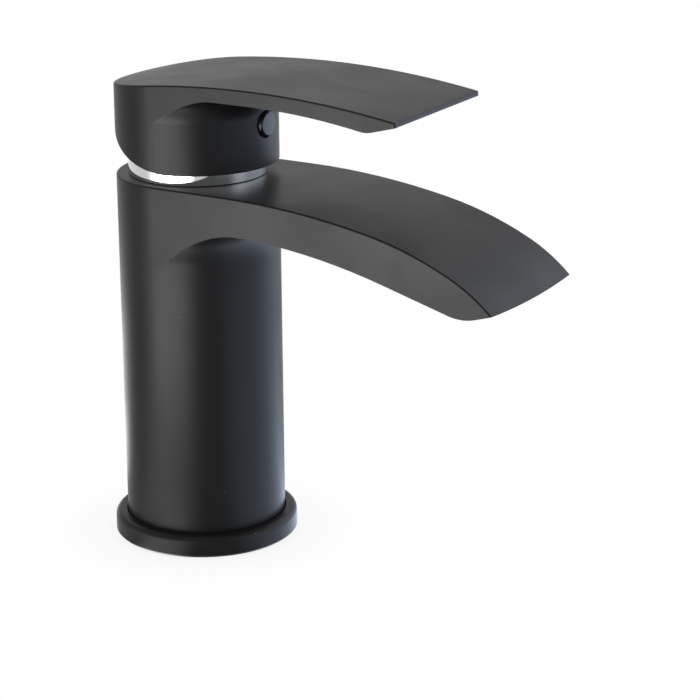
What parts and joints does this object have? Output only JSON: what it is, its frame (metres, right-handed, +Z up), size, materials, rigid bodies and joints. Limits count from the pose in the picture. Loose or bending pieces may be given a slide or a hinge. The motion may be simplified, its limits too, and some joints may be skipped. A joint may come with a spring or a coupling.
{
  "type": "bathroom mixer faucet",
  "caption": "Single-lever basin mixer faucet: round column on a base ring, wide flat curved spout, and a matching flat lever that lifts for flow and turns for temperature.",
  "frame": {"origin": "middle of the base on the column's axis, where it meets the deck", "axes": "+Z up along the column, +X along the spout, +Y across it"},
  "size_m": [0.1326, 0.053, 0.1372],
  "materials": {
    "satin_black": "satin black coat on cast brass",
    "black_plastic": "fine satin",
    "chrome": "polished",
    "brass": "machined",
    "white_plastic": "moulded",
    "grey_plastic": "moulded",
    "ceramic": "lapped",
    "rubber": "matt",
    "steel": "ground"
  },
  "bodies": {
    "body": {"body_casting": "satin_black", "base_ring": "satin_black", "base_gasket": "rubber", "column_o_ring": "rubber", "outlet_insert": "grey_plastic", "outlet_gasket": "rubber", "dome_cover": "chrome", "dome_o_ring": "rubber", "cartridge_nut": "brass", "cartridge_housing": "white_plastic", "cartridge_base": "white_plastic", "port_seals": "rubber", "disc_seals": "rubber", "fixed_disc": "ceramic"},
    "rotor": {"cartridge_rotor": "white_plastic", "rotor_o_ring": "rubber", "limit_ring": "black_plastic", "pivot_pin": "steel"},
    "lever": {"lever_handle": "satin_black", "handle_plug": "black_plastic", "grub_screw": "steel", "control_stem": "steel"},
    "slider": {"disc_carrier": "grey_plastic", "moving_disc": "ceramic"}
  },
  "joints": [
    {"name": "temperature_turn", "type": "hinge", "parent": "body", "child": "rotor", "pos_m": [0, 0, 0.11], "axis": [0, 0, 1], "range_deg": [-45, 45]},
    {"name": "lever_lift", "type": "hinge", "parent": "rotor", "child": "lever", "pos_m": [0, 0, 0.11], "axis": [0, -1, 0], "range_deg": [0, 25]},
    {"name": "disc_slide", "type": "slide", "parent": "rotor", "child": "slider", "axis": [1, 0, 0], "range_m": [0, 0.0066]}
  ],
  "couplings": [
    {"joint": "disc_slide", "follows": "lever_lift", "m_per_rad": 0.015}
  ]
}
